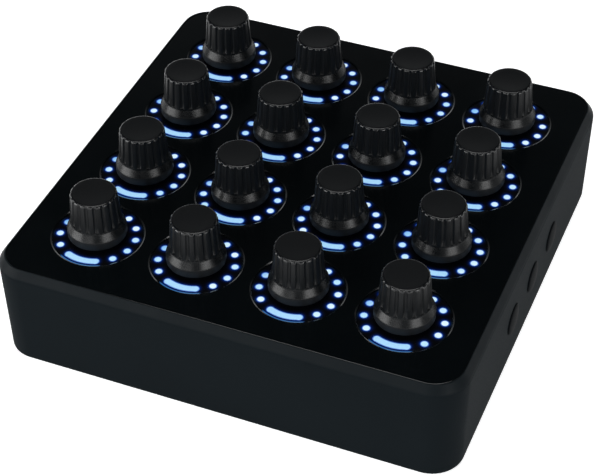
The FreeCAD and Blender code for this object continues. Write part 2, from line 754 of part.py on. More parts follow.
# Encoder housings: square boxes on the board with a threaded bushing that comes up through the
# light guide
def make_encoder_housings():
    body = new_part("encoder_housings")
    ring_place(body)
    size = ("Sizes.housing_wide", "Sizes.housing_deep", f"{GUIDE_LOW} - {BOARD_TOP}")
    block(body, "Additive", "box", size, ("0", "0", BOARD_TOP))
    cylinder(
        body,
        "Additive",
        "bushing",
        "Sizes.bushing_radius",
        "Sizes.bushing_rise + 1",
        ("0", "0", f"{GUIDE_LOW} - 1"),
    )
    room_low = f"({BOARD_TOP} + Sizes.housing_floor)"
    cylinder(
        body,
        "Subtractive",
        "wheel_room",
        "Sizes.housing_bore",
        f"{GUIDE_LOW} - Sizes.housing_roof - {room_low}",
        ("0", "0", room_low),
    )
    cylinder(
        body,
        "Subtractive",
        "shaft_bore",
        "Sizes.shaft_radius + Sizes.shaft_gap",
        "20",
        ("0", "0", f"{BOARD_TOP} + 2"),
    )
    pin_length = "Sizes.board_thick + 1.2"
    pin_low = f"{BOARD_TOP} - ({pin_length})"
    for across, along in PIN_SPOTS:
        root = "6.4" if along == "7" else "-6.4"
        block(
            body, "Additive", "pin", ("0.8", "0.5", f"{pin_length} + 0.8"), (across, along, pin_low)
        )
        block(body, "Additive", "pin_root", ("0.8", "1.3", "0.6"), (across, root, BOARD_TOP))
    for across, along in TAB_SPOTS:
        block(body, "Additive", "tab", ("0.8", "2", f"{pin_length} + 3"), (across, along, pin_low))
    on_knob_grid(body)
    return body


# Nuts and washers that clamp each encoder to its light guide, hidden under the knob
def make_encoder_washers():
    body = new_part("encoder_washers")
    ring_place(body)
    cylinder(
        body,
        "Additive",
        "disc",
        "Sizes.washer_radius",
        "Sizes.washer_thick",
        ("0", "0", GUIDE_TOP),
    )
    cylinder(
        body,
        "Subtractive",
        "bore",
        "Sizes.bushing_radius + 0.1",
        "2",
        ("0", "0", f"{GUIDE_TOP} - 1"),
    )
    on_knob_grid(body)
    return body


def make_encoder_nuts():
    body = new_part("encoder_nuts")
    ring_place(body)
    hexagon = body.newObject("PartDesign::AdditivePrism", "hexagon")
    hexagon.Polygon = 6
    hexagon.setExpression("Circumradius", "Sizes.nut_flats / 2 / cos(30deg)")
    hexagon.setExpression("Height", "Sizes.nut_thick")
    place(hexagon, height=WASHER_TOP)
    cylinder(
        body,
        "Subtractive",
        "thread",
        "Sizes.bushing_radius + 0.05",
        "4",
        ("0", "0", f"{WASHER_TOP} - 1"),
    )
    on_knob_grid(body)
    return body


# Main board: hangs from the middle five standoffs, carries encoders, lights, chips and socket
def make_main_board():
    body = new_part("main_board")
    sketch = sketch_on(body, "board_outline", lift=BOARD_LOW)
    half = "Sizes.board_half"
    tab = "Sizes.board_tab_half"
    corners = (
        (f"-{half}", f"-{half}"),
        (half, f"-{half}"),
        (half, half),
        (tab, half),
        (tab, "Sizes.board_tab_end"),
        (f"-{tab}", "Sizes.board_tab_end"),
        (f"-{tab}", half),
        (f"-{half}", half),
    )
    outline(sketch, corners)
    pad(body, "board", sketch, "Sizes.board_thick")
    below = f"{BOARD_LOW} - 1"
    spots = [("0", "0")] + list(corner_spots("knob_pitch"))
    for across, along in spots:
        cylinder(
            body,
            "Subtractive",
            "screw_hole",
            "Sizes.screw_radius + 0.1",
            "4",
            (across, along, below),
        )
    for across, along in corner_spots("post_place"):
        cylinder(
            body,
            "Subtractive",
            "post_notch",
            "Sizes.post_radius + 1",
            "4",
            (across, along, below),
        )
    holes = []
    for across, along in PIN_SPOTS:
        spot = (f"{FIRST_KNOB} + {across}", f"{FIRST_KNOB} + {along}", below)
        holes.append(cylinder(body, "Subtractive", "pin_hole", "0.6", "4", spot))
    for across, along in TAB_SPOTS:
        spot = (f"{FIRST_KNOB} + {across}", f"{FIRST_KNOB} + {along}", below)
        holes.append(block(body, "Subtractive", "tab_slot", ("1.2", "2.4", "4"), spot))
    on_knob_grid(body, holes)
    return body


# Chips under the main board: one controller and four light drivers
def make_control_chips():
    body = new_part("control_chips")
    block(
        body,
        "Additive",
        "controller",
        ("10", "10", "1.2"),
        ("0", "Sizes.knob_pitch / 2", f"{BOARD_LOW} - 1.2"),
    )
    pitch = "Sizes.knob_pitch"
    for across, along in ((pitch, "0"), (f"-{pitch}", "0"), ("0", pitch), ("0", f"-{pitch}")):
        block(
            body,
            "Additive",
            "light_driver",
            ("7.5", "10.3", "1.6"),
            (across, along, f"{BOARD_LOW} - 1.6"),
        )
    return body


# Pan head screws, cross recessed, driven from below
def screw(body, across, along, head_low, length):
    head_high = f"({head_low} + Sizes.screw_head_thick)"
    cylinder(
        body,
        "Additive",
        "head",
        "Sizes.screw_head",
        "Sizes.screw_head_thick",
        (across, along, head_low),
    )
    cylinder(
        body, "Additive", "shank", "Sizes.screw_radius", length, (across, along, head_high)
    )
    for size in (("3.2", "0.7", "1.2"), ("0.7", "3.2", "1.2")):
        block(body, "Subtractive", "recess", size, (across, along, f"{head_low} - 0.1"))


def make_board_screws():
    body = new_part("board_screws")
    spots = [("0", "0")] + list(corner_spots("knob_pitch"))
    for across, along in spots:
        screw(body, across, along, f"{BOARD_LOW} - Sizes.screw_head_thick", "7")
    return body


def make_case_screws():
    body = new_part("case_screws")
    head_low = "(Sizes.foot_stand + Sizes.screw_recess - Sizes.screw_head_thick)"
    for across, along in corner_spots("post_place"):
        length = f"{BOARD_TOP} + 5.5 - {head_low} - Sizes.screw_head_thick"
        screw(body, across, along, head_low, length)
    return body


# Feet: soft round pads seated in the base plate
def make_rubber_feet():
    body = new_part("rubber_feet")
    for across, along in corner_spots("foot_place"):
        pad_of_foot = cylinder(
            body,
            "Additive",
            "foot",
            "Sizes.foot_radius",
            "Sizes.foot_stand + Sizes.foot_seat",
            (across, along, "0"),
        )
    body.Tip = round_edges(
        body, "foot_rounding", pad_of_foot, "0.4", lambda edge: lies_at(edge, 0)
    )
    return body


# Cable socket: folded steel shell and the dark insulator in it with its contact tongue
def make_socket_shell():
    body = new_part("socket_shell")
    middle = "Sizes.socket_mouth - Sizes.socket_long / 2"
    low = f"{BOARD_LOW} - Sizes.socket_high"
    size = ("Sizes.socket_wide", "Sizes.socket_long", "Sizes.socket_high")
    block(body, "Additive", "shell", size, ("0", middle, low))
    inner = (
        "Sizes.socket_wide - 2 * Sizes.socket_wall",
        "Sizes.socket_long",
        "Sizes.socket_high - 2 * Sizes.socket_wall",
    )
    block(
        body,
        "Subtractive",
        "inside",
        inner,
        ("0", f"{middle} + Sizes.socket_wall", f"{low} + Sizes.socket_wall"),
    )
    return body


def make_socket_insulator():
    body = new_part("socket_insulator")
    gap = "0.05"
    wide = f"Sizes.socket_wide / 2 - Sizes.socket_wall - {gap}"
    high = f"Sizes.socket_high / 2 - Sizes.socket_wall - {gap}"
    length = "Sizes.socket_long - Sizes.socket_wall - 0.6"
    place(
        body,
        "0",
        "Sizes.socket_mouth - 0.5",
        SOCKET_MIDDLE,
        rotation=Rotation(Vector(1, 0, 0), 90),
    )
    face = sketch_on(body, "block_outline")
    corners = (
        (f"-({wide})", f"-({high})"),
        (wide, f"-({high})"),
        (wide, high),
        (f"-({wide})", high),
    )
    outline(face, corners)
    pad(body, "insulator", face, length)
    room = sketch_on(body, "plug_outline")
    side = "Sizes.plug_wide / 2"
    top = "Sizes.plug_high / 2"
    bevel = "Sizes.plug_bevel"
    corners = (
        (f"-({side})", f"-({top})"),
        (side, f"-({top})"),
        (side, f"{top} - {bevel}"),
        (f"{side} - {bevel}", top),
        (f"-({side} - {bevel})", top),
        (f"-({side})", f"{top} - {bevel}"),
    )
    outline(room, corners)
    tongue = (
        ("-Sizes.tongue_wide / 2", "-Sizes.tongue_high / 2"),
        ("Sizes.tongue_wide / 2", "-Sizes.tongue_high / 2"),
        ("Sizes.tongue_wide / 2", "Sizes.tongue_high / 2"),
        ("-Sizes.tongue_wide / 2", "Sizes.tongue_high / 2"),
    )
    outline(room, tongue)
    pocket_up(body, "plug_room", room, "Sizes.plug_deep")
    mouth = sketch_on(body, "tongue_end")
    outline(mouth, tongue)
    pocket_up(body, "tongue_setback", mouth, "1.5")
    return body


# Side boards with their switches and screws, one behind each side wall
def make_side_boards():
    body = new_part("side_boards")
    low = "Sizes.button_height - Sizes.side_board_high / 2"
    inner = "(Sizes.side_board_face - Sizes.board_thick)"
    size = ("Sizes.board_thick", "Sizes.side_board_long", "Sizes.side_board_high")
    middle = "Sizes.side_board_face - Sizes.board_thick / 2"
    block(body, "Additive", "board", size, (middle, "Sizes.button_middle", low))
    for step in (-1, 1):
        along = f"Sizes.button_middle + {step} * Sizes.button_pitch / 2"
        cylinder(
            body,
            "Subtractive",
            "screw_hole",
            "Sizes.small_screw + 0.1",
            "4",
            (f"{inner} - 1", along, "Sizes.button_height"),
            LYING_RIGHT,
        )
    on_both_sides(body)
    return body


def make_side_switches():
    body = new_part("side_switches")
    middle = "Sizes.side_board_face + Sizes.switch_deep / 2"
    low = "Sizes.button_height - Sizes.switch_side / 2"
    size = ("Sizes.switch_deep", "Sizes.switch_side", "Sizes.switch_side")
    for name, along in button_spots():
        block(body, "Additive", f"{name}_switch", size, (middle, along, low))
        cylinder(
            body,
            "Subtractive",
            f"{name}_plunger_hole",
            "Sizes.button_post + 0.2",
            "3",
            ("Sizes.side_board_face + 0.6", along, "Sizes.button_height"),
            LYING_RIGHT,
        )
    on_both_sides(body)
    return body


def make_side_board_screws():
    body = new_part("side_board_screws")
    inner = "(Sizes.side_board_face - Sizes.board_thick)"
    for step in (-1, 1):
        along = f"Sizes.button_middle + {step} * Sizes.button_pitch / 2"
        cylinder(
            body,
            "Additive",
            "head",
            "1.9",
            "1.2",
            (f"{inner} - 1.2", along, "Sizes.button_height"),
            LYING_RIGHT,
        )
        cylinder(
            body,
            "Additive",
            "shank",
            "Sizes.small_screw",
            "Sizes.board_thick + 4",
            (inner, along, "Sizes.button_height"),
            LYING_RIGHT,
        )
    on_both_sides(body)
    return body


# Flat leads from the side boards up to the main board, one bend each
def make_side_leads():
    body = new_part("side_leads")
    start = "(Sizes.side_board_face - Sizes.board_thick)"
    rise_at = f"({start} - 7)"
    height = "(Sizes.button_height + 3)"
    bend = "3"
    route = sketch_on(body, "route", "XZ_Plane")
    reach = number(start)
    turn = number(rise_at)
    low = number(height)
    radius = number(bend)
    top = number(BOARD_LOW)
    flat = route.addGeometry(
        Part.LineSegment(Vector(reach, low, 0), Vector(turn + radius, low, 0))
    )
    curve = Part.Circle(Vector(turn + radius, low + radius, 0), Vector(0, 0, 1), radius)
    arc = route.addGeometry(Part.ArcOfCircle(curve, math.pi, math.pi * 1.5))
    rise = route.addGeometry(
        Part.LineSegment(Vector(turn, low + radius, 0), Vector(turn, top, 0))
    )
    route.addConstraint(Sketcher.Constraint("Tangent", flat, 2, arc, 2))
    route.addConstraint(Sketcher.Constraint("Tangent", arc, 1, rise, 1))
    route.addConstraint(Sketcher.Constraint("Horizontal", flat))
    route.addConstraint(Sketcher.Constraint("Vertical", rise))
    hold(route, "Radius", bend, arc)
    pin(route, flat, 1, start, height)
    pin(route, rise, 2, rise_at, BOARD_LOW)
    section = sketch_on(body, "lead_section", "YZ_Plane", lift=start)
    outline(
        section,
        (
            ("-3", f"{height} - 0.4"),
            ("3", f"{height} - 0.4"),
            ("3", f"{height} + 0.4"),
            ("-3", f"{height} + 0.4"),
        ),
    )
    lead = body.newObject("PartDesign::AdditivePipe", "lead")
    lead.Profile = section
    lead.Spine = route
    on_both_sides(body)
    return body


# Contact wheel inside an encoder: a detent wheel that turns with the shaft's flat key
def make_encoder_wheel(name, across, along, turn):
    body = new_part(name)
    place(body, across, along, WHEEL_LOW, Rotation(Vector(0, 0, 1), turn))
    cylinder(
        body, "Additive", "wheel", "Sizes.wheel_radius", "Sizes.wheel_thick", ("0", "0", "0")
    )
    slot = ("Sizes.key_wide + 2 * Sizes.key_gap", "Sizes.key_thick + 2 * Sizes.key_gap", "3")
    block(body, "Subtractive", "key_slot", slot, ("0", "0", "-1"))
    notch = cylinder(
        body, "Subtractive", "detent", "0.45", "3", ("Sizes.wheel_radius + 0.1", "0", "-1")
    )
    around(body, "detents", [notch], "12")
    return body


# Knob and the shaft it is pressed on. The cap is a hollow moulding with a plain skirt, a sloping
# shoulder, a fluted grip and a slightly dished top. The shaft is round in its bushing, flat on one
# side in the hub, and has a collar and a flat key at its lower end.
def make_knob(name, across, along, turn):
    body = new_part(name)
    place(body, across, along, RING_TOP, Rotation(Vector(0, 0, 1), turn))
    edge = "Sizes.grip_round"
    top = "Sizes.knob_top"
    low = "Sizes.knob_gap"
    skirt = "Sizes.skirt_radius"
    flat = f"(Sizes.grip_top_radius - {edge})"
    roof = f"({top} - 3)"
    corners = (
        ("0", "Sizes.hub_foot"),
        ("Sizes.hub_radius", "Sizes.hub_foot"),
        ("Sizes.hub_radius", roof),
        ("6.9", roof),
        ("7.5", f"{low} + 4.5"),
        ("9", f"{low} + 3"),
        ("9.2", low),
        (f"{skirt} - 0.25", low),
        (skirt, f"{low} + 0.25"),
        (skirt, "Sizes.skirt_top"),
        (f"{skirt} - 0.1", "Sizes.skirt_top + 0.15"),
        ("Sizes.grip_low_radius + 0.1", "Sizes.shoulder_top - 0.15"),
        ("Sizes.grip_low_radius", "Sizes.shoulder_top + 0.1"),
        ("Sizes.grip_top_radius", f"{top} - {edge}"),
        (flat, top),
        ("0", f"{top} - Sizes.top_dish"),
    )
    dish = f"({flat}^2 + Sizes.top_dish^2) / (2 * Sizes.top_dish)"
    turned(body, "cap", corners, ((13, f"{edge} * 1.02", 1), (14, dish, -1)))
    narrowing = "(Sizes.grip_low_radius - Sizes.grip_top_radius)"
    slope = f"{narrowing} / ({top} - {edge} - Sizes.shoulder_top)"
    lean = math.degrees(math.atan(number(slope)))
    flute = cylinder(
        body,
        "Subtractive",
        "flute",
        "Sizes.flute_radius",
        f"{top}",
        ("Sizes.grip_low_radius + Sizes.flute_radius - Sizes.flute_depth", "0", "Sizes.flute_foot"),
        Rotation(Vector(0, -1, 0), lean),
    )
    around(body, "flutes", [flute], "Sizes.flute_count")
    bore = sketch_on(body, "hub_bore_outline", lift="Sizes.hub_foot")
    flat_sided_round(bore, "Sizes.shaft_radius + Sizes.shaft_gap", "1.55")
    pocket_up(body, "hub_bore", bore, "Sizes.shaft_top - Sizes.hub_foot + 0.4")
    stem = sketch_on(body, "stem_outline", lift="Sizes.hub_foot - 0.2")
    flat_sided_round(stem, "Sizes.shaft_radius", "1.5")
    pad(body, "stem", stem, "Sizes.shaft_top - Sizes.hub_foot + 0.2")
    collar_low = f"({COLLAR_LOW} - {RING_TOP})"
    collar_top = f"({COLLAR_TOP} - {RING_TOP})"
    cylinder(
        body,
        "Additive",
        "shaft",
        "Sizes.shaft_radius",
        f"Sizes.hub_foot - 0.2 - {collar_top}",
        ("0", "0", collar_top),
    )
    cylinder(
        body,
        "Additive",
        "collar",
        "Sizes.collar_radius",
        "Sizes.collar_thick",
        ("0", "0", collar_low),
    )
    key_low = f"({WHEEL_LOW} - 0.5 - {RING_TOP})"
    size = ("Sizes.key_wide", "Sizes.key_thick", f"{collar_low} - {key_low}")
    block(body, "Additive", "key", size, ("0", "0", key_low))
    return body


def flat_sided_round(sketch, radius, flat):
    # A circle cut off by a straight side at x = flat.
    size = number(radius)
    half = math.acos(number(flat) / size)
    ring = Part.Circle(Vector(0, 0, 0), Vector(0, 0, 1), size)
    arc = sketch.addGeometry(Part.ArcOfCircle(ring, half, 2 * math.pi - half))
    low = Vector(size * math.cos(half), -size * math.sin(half), 0)
    high = Vector(size * math.cos(half), size * math.sin(half), 0)
    side = sketch.addGeometry(Part.LineSegment(low, high))
    sketch.addConstraint(Sketcher.Constraint("Coincident", arc, 3, -1, 1))
    sketch.addConstraint(Sketcher.Constraint("Coincident", arc, 2, side, 1))
    sketch.addConstraint(Sketcher.Constraint("Coincident", side, 2, arc, 1))
    sketch.addConstraint(Sketcher.Constraint("Vertical", side))
    hold(sketch, "Radius", radius, arc)
    hold(sketch, "DistanceX", flat, -1, 1, side, 1)


# Side button: a domed cap in the wall's hole, a flange behind the wall and a post on the switch
def make_side_button(name, side, along):
    body = new_part(name)
    rotation = LYING_LEFT if side else LYING_RIGHT
    flange_low = "(Sizes.cavity_half - Sizes.fit_gap - Sizes.button_flange_thick)"
    place(body, f"{side}{flange_low}", along, "Sizes.button_height", rotation)
    wall_high = "(Sizes.case_height - Sizes.bevel_high)"
    lean = f"Sizes.case_draft * (Sizes.button_height - Sizes.foot_stand) / {wall_high}"
    face = f"(Sizes.case_half + {lean} + Sizes.button_proud - {flange_low})"
    cap = "Sizes.button_radius"
    corners = (
        ("0", "-0.8"),
        ("Sizes.button_post", "-0.8"),
        ("Sizes.button_post", "0"),
        ("Sizes.button_flange", "0"),
        ("Sizes.button_flange", "Sizes.button_flange_thick"),
        (cap, "Sizes.button_flange_thick"),
        (cap, f"{face} - 0.9"),
        (f"{cap} - 0.7", f"{face} - Sizes.button_dome"),
        ("0", face),
    )
    dome = f"(({cap} - 0.7)^2 + Sizes.button_dome^2) / (2 * Sizes.button_dome)"
    bends = ((6, "0.8", 1), (7, dome, 1))
    turned(body, "button", corners, bends)
    return body


def knob_grid():
    for row, turns in enumerate(KNOB_TURNS):
        for column, turn in enumerate(turns):
            tag = f"row{row + 1}_col{column + 1}"
            across = f"({FIRST_KNOB} + {column} * Sizes.knob_pitch)"
            along = f"(-{FIRST_KNOB} - {row} * Sizes.knob_pitch)"
            yield tag, across, along, turn


make_case_shell()
make_base_plate()
make_faceplate()
make_faceplate_standoffs()
make_light_guides()
make_ring_masks()
make_light_baffles()
make_ring_lights()
make_encoder_housings()
make_encoder_washers()
make_encoder_nuts()
make_main_board()
make_control_chips()
make_board_screws()
make_case_screws()
make_rubber_feet()
make_socket_shell()
make_socket_insulator()
make_side_boards()
make_side_switches()
make_side_board_screws()
make_side_leads()
for tag, across, along, turn in knob_grid():
    make_encoder_wheel(f"encoder_wheel_{tag}", across, along, turn)
    make_knob(f"knob_{tag}", across, along, turn)
for side, wall in (("", "right"), ("-", "left")):
    for name, along in button_spots():
        make_side_button(f"side_button_{wall}_{name}", side, along)

doc.recompute()

# Every object must be sound, and every cut must take something away
faults = []
for item in doc.Objects:
    if "Invalid" in item.State or "Error" in item.State:
        faults.append(f"{item.Name} of {item.getParentGeoFeatureGroup().Label}: {item.State}")
        continue
    cuts = item.TypeId.startswith(("PartDesign::Pocket", "PartDesign::Subtractive"))
    if cuts and item.Shape.Volume > item.BaseFeature.Shape.Volume - 0.001:
        faults.append(f"{item.Name} of {item.getParentGeoFeatureGroup().Label} cuts nothing")
if faults:
    raise RuntimeError("; ".join(faults))

os.makedirs("parts", exist_ok=True)
for part in parts:
    if part.Shape.isNull() or not part.Shape.isValid():
        raise RuntimeError(f"{part.Label} has no sound shape")
    part.Shape.exportStep(f"parts/{part.Label}.step")
    solids = len(part.Shape.Solids)
    print(f"{part.Label}: {solids} solids, {part.Shape.Volume:.1f} mm3")
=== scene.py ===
import math
import bmesh
import bpy
from mathutils import Matrix, Vector


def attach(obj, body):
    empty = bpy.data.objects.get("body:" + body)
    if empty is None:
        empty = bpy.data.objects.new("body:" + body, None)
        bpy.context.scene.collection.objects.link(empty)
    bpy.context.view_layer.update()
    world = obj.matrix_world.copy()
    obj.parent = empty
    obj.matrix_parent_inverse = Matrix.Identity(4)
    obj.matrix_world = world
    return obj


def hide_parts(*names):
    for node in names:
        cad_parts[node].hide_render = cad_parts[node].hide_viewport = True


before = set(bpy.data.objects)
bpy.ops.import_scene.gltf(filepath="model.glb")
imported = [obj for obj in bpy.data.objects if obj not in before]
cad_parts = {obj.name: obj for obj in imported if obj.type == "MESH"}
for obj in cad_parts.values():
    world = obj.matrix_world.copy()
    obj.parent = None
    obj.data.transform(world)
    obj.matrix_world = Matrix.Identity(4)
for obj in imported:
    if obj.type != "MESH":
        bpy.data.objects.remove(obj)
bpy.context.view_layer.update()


# Case: one moulding with four leaning walls, a bevel round the rim, ledges for the plates and round
# holes for the side buttons. Black ABS from a spark-eroded mould, so it is matt with a fine grain.
MM = 0.001
RIM_TOP = 43.2
CREASE = 40.1
CASE_BLACKS = ("#0e1316", "#171d20")


def paint(hex_colour):
    """The linear colour of an sRGB hex value."""
    levels = [int(hex_colour[k:k + 2], 16) / 255 for k in (1, 3, 5)]
    linear = [v / 12.92 if v <= 0.04045 else ((v + 0.055) / 1.055) ** 2.4 for v in levels]
    return (*linear, 1.0)


def new_finish(name):
    """A material with an empty node tree, named for what it is."""
    finish = bpy.data.materials.new(name)
    finish.use_nodes = True
    finish.node_tree.nodes.clear()
    return finish


def put(owner, kind, inputs=(), **settings):
    """Adds a node with its settings. An input is a value, a socket, or a node that feeds it."""
    added = owner.node_tree.nodes.new("ShaderNode" + kind)
    for name, value in settings.items():
        setattr(added, name, value)
    for key, value in dict(inputs).items():
        if isinstance(key, str):
            socket = next(s for s in added.inputs if s.enabled and s.name == key)
        else:
            socket = added.inputs[key]
        if isinstance(value, bpy.types.Node):
            value = next(s for s in value.outputs if s.enabled)
        if isinstance(value, bpy.types.NodeSocket):
            owner.node_tree.links.new(value, socket)
        else:
            socket.default_value = value
    return added


def spot_on(finish, centre=(0, 0, 0)):
    """Object coordinates measured from a point of the piece, given in millimetres."""
    here = put(finish, "TexCoord").outputs["Object"]
    return put(finish, "Mapping", {"Vector": here, "Location": [-c * MM for c in centre]})


def moulded_plastic(name, dark, light, roughness, grain, depth, gloss=0.5, worn=()):
    """Moulded plastic. Grain and depth are the mould texture's size and height in millimetres.
    Real grain is 0.1 to 0.2 mm and wouldn't show, so it is drawn two to four times as coarse.
    Worn holds (low, high, drop): the heights of each band that hands have polished, and how much
    less rough it is."""
    finish = new_finish(name)
    spot = spot_on(finish)
    flow = put(finish, "TexNoise", {"Vector": spot, "Scale": 1 / (35 * MM), "Detail": 3.0})
    speck = put(finish, "TexNoise", {"Vector": spot, "Scale": 1 / (grain * MM), "Detail": 2.0})
    mix = put(finish, "Math", {0: flow, 1: speck}, operation="MULTIPLY")
    shade = put(
        finish, "Mix", {"Factor": mix, "A": paint(dark), "B": paint(light)}, data_type="RGBA"
    )
    sheen = put(
        finish,
        "MapRange",
        {"Value": speck, "From Min": 0.3, "From Max": 0.7,
         "To Min": roughness - 0.05, "To Max": roughness + 0.06},
    )
    height = put(finish, "SeparateXYZ", {"Vector": spot}).outputs["Z"]
    patchy = put(finish, "TexNoise", {"Vector": spot, "Scale": 1 / (9 * MM), "Detail": 2.0})
    patchy = put(finish, "MapRange", {"Value": patchy, "To Min": 0.6, "To Max": 1.4})
    for low, high, drop in worn:
        away = put(
            finish, "Math", {0: height, 1: (low + high) / 2 * MM}, operation="SUBTRACT"
        )
        away = put(finish, "Math", {0: away}, operation="ABSOLUTE")
        reach = (high - low) / 2 * MM
        band = put(
            finish,
            "MapRange",
            {"Value": away, "From Min": 0.6 * reach, "From Max": reach,
             "To Min": -drop, "To Max": 0.0},
        )
        sheen = put(
            finish, "Math", {0: band, 1: patchy, 2: sheen}, operation="MULTIPLY_ADD"
        )
    relief = put(
        finish, "Bump", {"Height": speck, "Strength": 1.0, "Distance": depth * MM}
    )
    shader = put(
        finish,
        "BsdfPrincipled",
        {"Base Color": shade, "Roughness": sheen, "Normal": relief,
         "IOR": 1.52, "Specular IOR Level": gloss},
    )
    put(finish, "OutputMaterial", {"Surface": shader})
    return finish


def dress(node, finish):
    """Gives a CAD solid its material."""
    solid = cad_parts[node]
    if not solid.material_slots:
        solid.data.materials.append(finish)
    for place in solid.material_slots:
        place.material = finish


def piece(name, work, finish, body, nodes=(), smooth=30):
    """Makes an object of a bmesh: edges flatter than the angle are shaded smooth."""
    mesh = bpy.data.meshes.new(name)
    for face in work.faces:
        face.smooth = True
    for edge in work.edges:
        edge.smooth = edge.is_manifold and edge.calc_face_angle(4) < math.radians(smooth)
    work.to_mesh(mesh)
    work.free()
    mesh.materials.append(finish)
    made = bpy.data.objects.new(name, mesh)
    bpy.context.scene.collection.objects.link(made)
    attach(made, body)
    if nodes:
        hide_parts(*nodes)
    return made


def merged_solid(node):
    """A bmesh of a CAD solid with its loose triangles joined."""
    work = bmesh.new()
    work.from_mesh(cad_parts[node].data)
    bmesh.ops.remove_doubles(work, verts=work.verts, dist=0.0005 * MM)
    return work


# Hands have polished the bevel a little, so it has a finish of its own
polished = [(CREASE - 0.3, RIM_TOP + 0.5, 0.25)]
matt_abs = moulded_plastic("matt_black_abs", *CASE_BLACKS, 0.7, 0.5, 0.012, 0.025, polished)
worn_abs = moulded_plastic("worn_black_abs", *CASE_BLACKS, 0.7, 0.5, 0.012, 0.05, polished)
shell = merged_solid("case_shell")
for face in shell.faces:
    on_bevel = face.normal.z > 0.2 and face.calc_center_median().z > CREASE * MM
    face.material_index = int(on_bevel)
case = piece("case", shell, matt_abs, "case", ["case_shell"])
case.data.materials.append(worn_abs)
case.modifiers.new("even_shading", "WEIGHTED_NORMAL").keep_sharp = True


# Base plate: an ABS sheet that drops into the case from below, with hollow posts for the long
# screws. Its mould is coarser than the case's, and it is a little greyer.
coarse_abs = moulded_plastic("coarse_black_abs", "#181a1b", "#222526", 0.62, 0.8, 0.02, 0.4)
dress("base_plate", coarse_abs)


# Feet: four round pads punched from soft black rubber and pressed into their seats. They are dull,
# with a rounded lower edge.
FOOT_PLACE = 66.0
FOOT_RADIUS = 6.0
FOOT_HIGH = 2.5


def ring(work, loop, radius, height, middle=(0, 0)):
    """Extrudes an upright loop of edges to a circle of that radius and height."""
    grown = bmesh.ops.extrude_edge_only(work, edges=loop)["geom"]
    for corner in grown:
        if isinstance(corner, bmesh.types.BMVert):
            way = Vector((corner.co.x - middle[0], corner.co.y - middle[1])).normalized()
            corner.co = (middle[0] + way.x * radius, middle[1] + way.y * radius, height)
    return [e for e in grown if isinstance(e, bmesh.types.BMEdge)]


def turned_solid(profile, steps=48):
    """A closed round solid on the Z axis. The profile is (radius, height) in millimetres from the
    lower pole to the upper one."""
    work = bmesh.new()
    first = bmesh.ops.create_circle(work, cap_ends=True, radius=profile[0][0], segments=steps)
    for corner in first["verts"]:
        corner.co.z = profile[0][1]
    loop = list(work.edges)
    for radius, height in profile[1:]:
        loop = ring(work, loop, radius, height)
    bmesh.ops.contextual_create(work, geom=loop)
    bmesh.ops.recalc_face_normals(work, faces=work.faces)
    return work


soft_rubber = moulded_plastic("soft_black_rubber", "#121212", "#1c1c1c", 0.85, 0.6, 0.02, 0.3)
pads = bmesh.new()
one_foot = turned_solid(
    [(FOOT_RADIUS - 0.4, 0), (FOOT_RADIUS - 0.12, 0.12), (FOOT_RADIUS, 0.4),
     (FOOT_RADIUS, FOOT_HIGH)]
)
foot_mesh = bpy.data.meshes.new("foot_shape")
one_foot.to_mesh(foot_mesh)
one_foot.free()
for across in (-FOOT_PLACE, FOOT_PLACE):
    for along in (-FOOT_PLACE, FOOT_PLACE):
        foot_mesh.transform(Matrix.Translation((across, along, 0)))
        pads.from_mesh(foot_mesh)
        foot_mesh.transform(Matrix.Translation((-across, -along, 0)))
bmesh.ops.scale(pads, vec=(MM, MM, MM), verts=pads.verts)
piece("feet", pads, soft_rubber, "case", ["rubber_feet"])


# Faceplate: a cast acrylic sheet, laser cut, black right through. It mirrors the room softly, and
# the flame-polished bevels of its sixteen holes mirror it brightly.
PITCH = 38.8


def gloss_acrylic(name, duller, gloss):
    """Duller is how much rougher than a flame-bright edge the surface is."""
    finish = new_finish(name)
    spot = spot_on(finish)
    dust = put(finish, "TexNoise", {"Vector": spot, "Scale": 1 / (1.2 * MM), "Detail": 4.0})
    smear = put(finish, "TexNoise", {"Vector": spot, "Scale": 1 / (28 * MM), "Detail": 3.0})
    shade = put(
        finish, "Mix",
        {"Factor": dust, "A": paint("#030608"), "B": paint("#060a0c")},
        data_type="RGBA",
    )
    # Finger marks are broad and faint, and leave the polish slightly duller
    sheen = put(
        finish, "MapRange",
        {"Value": smear, "From Min": 0.35, "From Max": 0.75,
         "To Min": 0.11 + duller, "To Max": 0.17 + duller},
    )
    wave = put(finish, "TexNoise", {"Vector": spot, "Scale": 1 / (60 * MM), "Detail": 0.0})
    relief = put(finish, "Bump", {"Height": wave, "Strength": 1.0, "Distance": 0.02 * MM})
    shader = put(
        finish, "BsdfPrincipled",
        {"Base Color": shade, "Roughness": sheen, "Normal": relief,
         "IOR": 1.49, "Specular IOR Level": gloss},
    )
    put(finish, "OutputMaterial", {"Surface": shader})
    return finish


sheet = merged_solid("faceplate")
for face in sheet.faces:
    face.material_index = int(face.normal.z < 0.96)
panel = piece(
    "faceplate_sheet", sheet, gloss_acrylic("polished_black_acrylic", 0.03, 0.34),
    "case", ["faceplate"], 18,
)
# The second finish is on the holes' bevels and the cut edges
panel.data.materials.append(gloss_acrylic("flame_bright_acrylic", 0.0, 0.94))
panel.modifiers.new("even_shading", "WEIGHTED_NORMAL").keep_sharp = True


# Ring masks and light guides: a black printed film over a clear guide, with eleven round windows
# and one bar that the board's lights fill. The light is white in a window's middle, blue at its
# edge, and a little of it creeps into the film.
DOT_CIRCLE = 13.85
DOT_RADIUS = 1.45
DOT_STEP = 26.28
BAR_CIRCLE = 13.7
BAR_HALF = 1.45
BAR_REACH = 22.8


